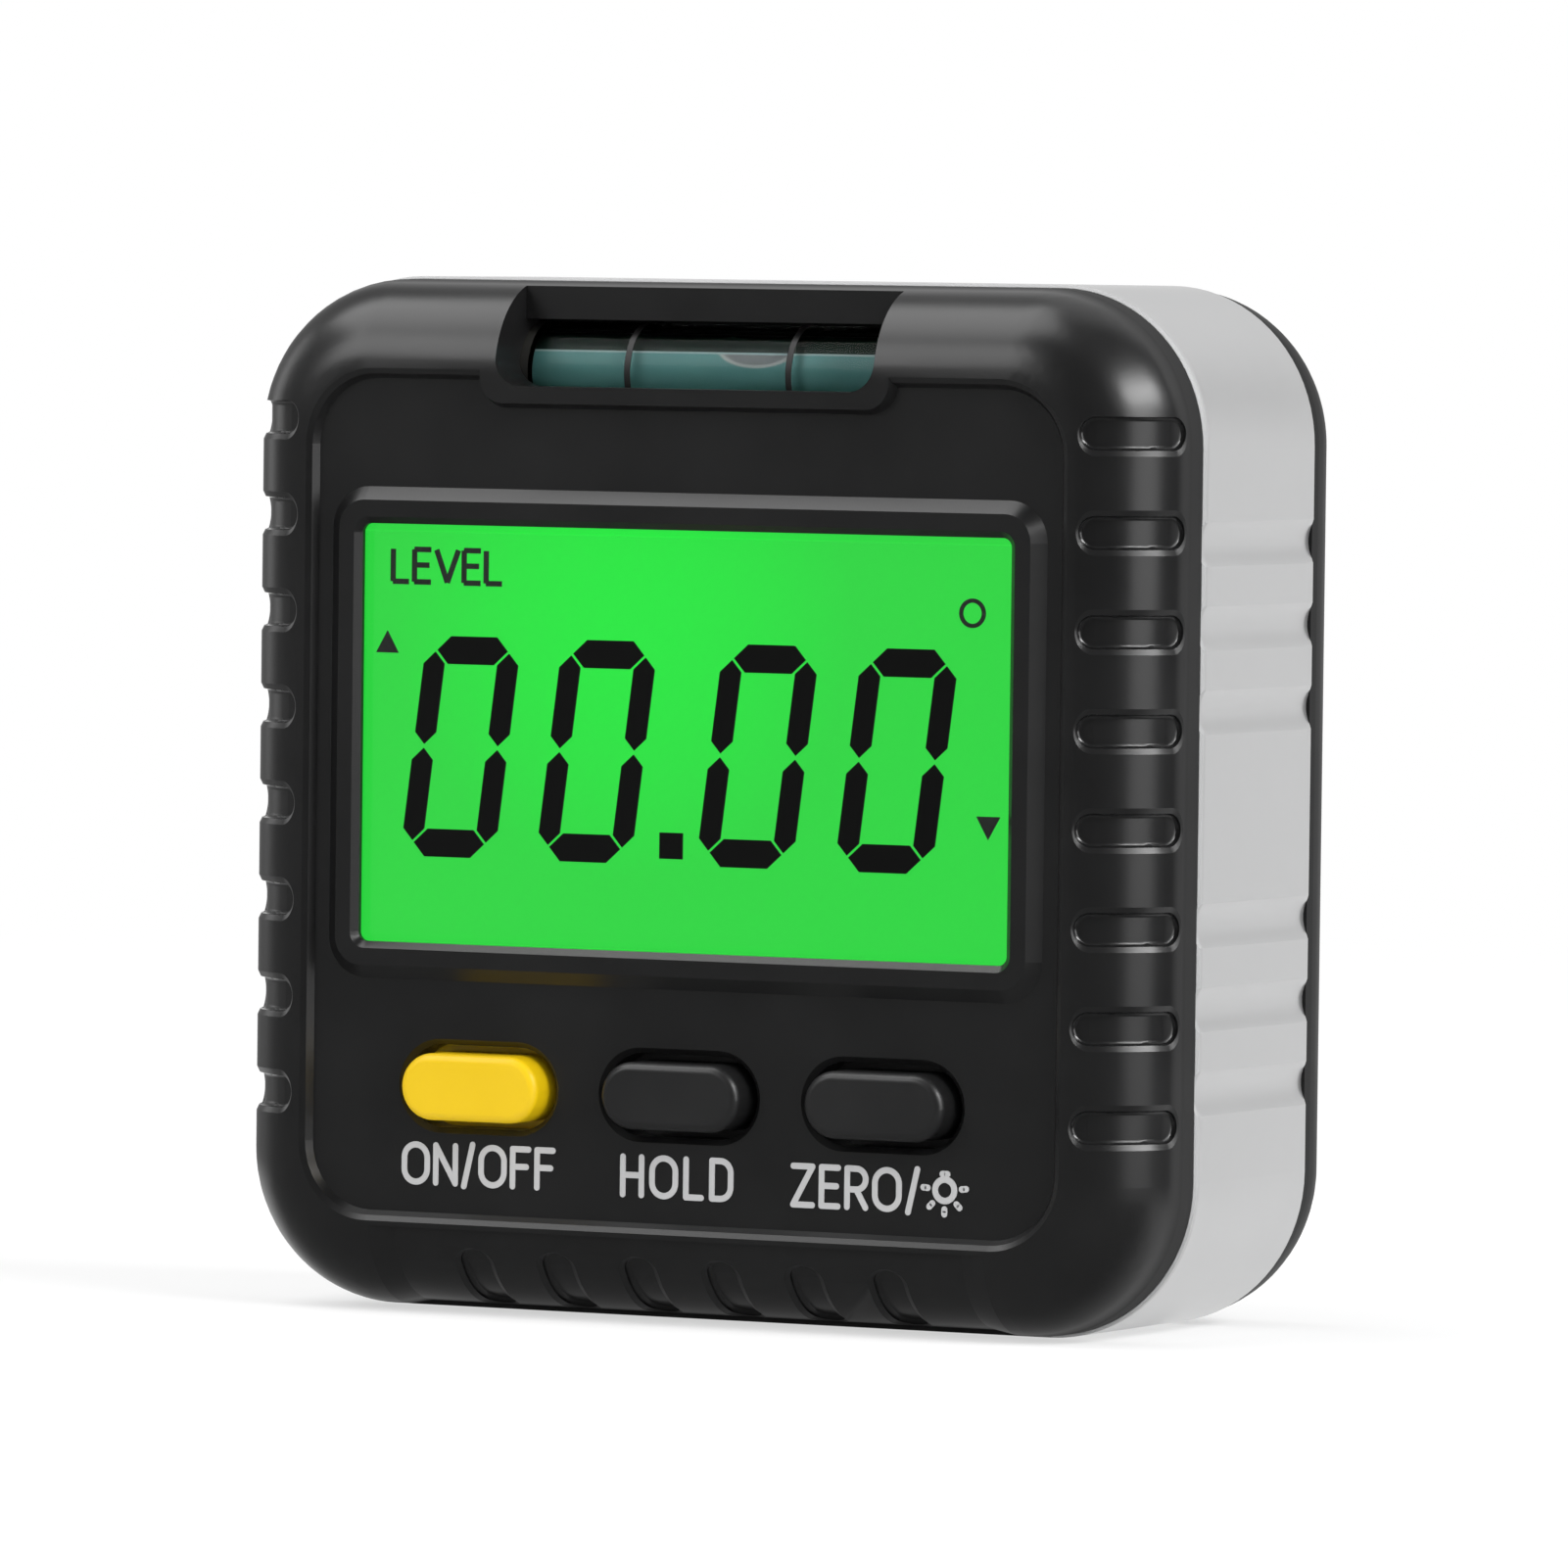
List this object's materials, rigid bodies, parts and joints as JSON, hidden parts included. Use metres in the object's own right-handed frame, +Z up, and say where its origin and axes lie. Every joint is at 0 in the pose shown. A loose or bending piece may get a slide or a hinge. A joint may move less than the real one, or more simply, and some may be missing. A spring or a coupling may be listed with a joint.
{
  "type": "digital angle gauge",
  "caption": "Square box inclinometer: aluminium frame between black moulded covers, lit green display, push buttons, bubble vial in the top edge and magnets in the base.",
  "frame": {"origin": "middle of the frame's flat measuring face, underneath", "axes": "+Z up, -Y out of the display towards the user, +X to the user's right"},
  "size_m": [0.055, 0.0251, 0.055],
  "materials": {
    "black_plastic": "satin",
    "silver_frame": "satin anodised",
    "clear_window": "clear",
    "green_display": "lit",
    "display_segments": "matt",
    "white_plastic": "milky",
    "black_rubber": "matt",
    "board_green": "solder mask",
    "chip_black": "matt",
    "yellow_button": "satin",
    "black_button": "satin",
    "vial_spirit": "clear green-blue liquid",
    "magnet_nickel": "nickel plate",
    "cell_jacket": "plain jacket",
    "contact_steel": "nickel plate",
    "dark_screw": "dark zinc"
  },
  "bodies": {
    "case": {"front_shell": "black_plastic", "side_frame": "silver_frame", "rear_cover": "black_plastic", "screen_window": "clear_window", "lcd_panel": "green_display", "lcd_digits": "display_segments", "backlight": "white_plastic", "zebra_strips": "black_rubber", "circuit_board": "board_green", "controller_chip": "chip_black", "tilt_sensor": "chip_black", "switch_bodies": "contact_steel", "vial_tube": "clear_window", "vial_fluid": "vial_spirit", "vial_lines": "display_segments", "vial_plugs": "black_rubber", "base_magnets": "magnet_nickel", "upper_cell": "cell_jacket", "lower_cell": "cell_jacket", "bridge_contact": "contact_steel", "positive_contact": "contact_steel", "negative_contact": "contact_steel", "contact_springs": "contact_steel", "case_screws": "dark_screw", "board_screws": "dark_screw"},
    "power_key": {"power_button": "yellow_button", "power_plunger": "chip_black"},
    "hold_key": {"hold_button": "black_button", "hold_plunger": "chip_black"},
    "zero_key": {"zero_button": "black_button", "zero_plunger": "chip_black"},
    "door": {"battery_door": "black_plastic"}
  },
  "joints": [
    {"name": "power_press", "type": "slide", "parent": "case", "child": "power_key", "axis": [0, 1, 0], "range_m": [0, 0.0003], "stiffness_N_per_m": 600},
    {"name": "hold_press", "type": "slide", "parent": "case", "child": "hold_key", "axis": [0, 1, 0], "range_m": [0, 0.0003], "stiffness_N_per_m": 600},
    {"name": "zero_press", "type": "slide", "parent": "case", "child": "zero_key", "axis": [0, 1, 0], "range_m": [0, 0.0003], "stiffness_N_per_m": 600},
    {"name": "door_hinge", "type": "hinge", "parent": "case", "child": "door", "pos_m": [0, 0.0107, 0.0382], "axis": [1, 0, 0], "range_deg": [0, 70]}
  ]
}
